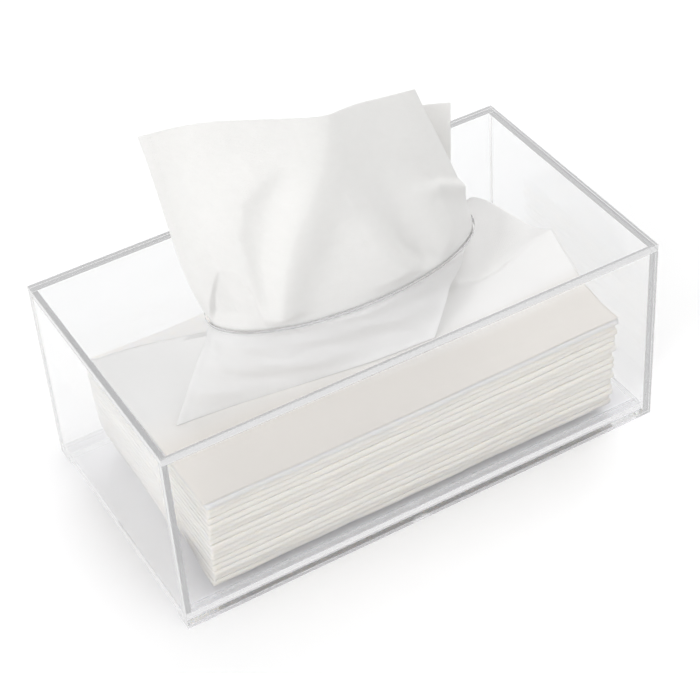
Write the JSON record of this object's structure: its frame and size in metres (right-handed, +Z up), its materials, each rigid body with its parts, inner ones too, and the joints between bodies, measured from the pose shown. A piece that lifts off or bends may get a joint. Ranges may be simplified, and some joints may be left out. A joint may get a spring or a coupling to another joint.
{
  "type": "tissue box with sliding base",
  "caption": "Clear rectangular tissue box with an oval slot in its top, a base plate that slides out to one end, and a pile of folded tissues with one drawn up.",
  "frame": {"origin": "middle of the casing's footprint, on the surface it stands on", "axes": "+X along the length, to the right; the base slides out towards -X; +Y to the back; +Z up"},
  "size_m": [0.22, 0.12, 0.1815],
  "materials": {
    "clear_sheet": "clear, polished",
    "folded_tissue": "soft matte paper",
    "loose_tissue": "soft matte paper"
  },
  "bodies": {
    "casing": {"top_panel": "clear_sheet", "front_wall": "clear_sheet", "back_wall": "clear_sheet", "left_end_wall": "clear_sheet", "right_end_wall": "clear_sheet", "front_ledge": "clear_sheet", "back_ledge": "clear_sheet", "tissue_layer_01": "folded_tissue", "tissue_layer_02": "folded_tissue", "tissue_layer_03": "folded_tissue", "tissue_layer_04": "folded_tissue", "tissue_layer_05": "folded_tissue", "tissue_layer_06": "folded_tissue", "tissue_layer_07": "folded_tissue", "tissue_layer_08": "folded_tissue", "tissue_layer_09": "folded_tissue", "tissue_layer_10": "folded_tissue", "tissue_layer_11": "folded_tissue", "tissue_layer_12": "folded_tissue", "tissue_layer_13": "folded_tissue", "tissue_layer_14": "folded_tissue", "tissue_layer_15": "folded_tissue", "tissue_layer_16": "folded_tissue", "next_tissue": "loose_tissue", "pulled_tissue": "loose_tissue"},
    "sliding_base": {"sliding_base": "clear_sheet"}
  },
  "joints": [
    {"name": "base_slide", "type": "slide", "parent": "casing", "child": "sliding_base", "axis": [-1, 0, 0], "range_m": [0, 0.18]}
  ]
}
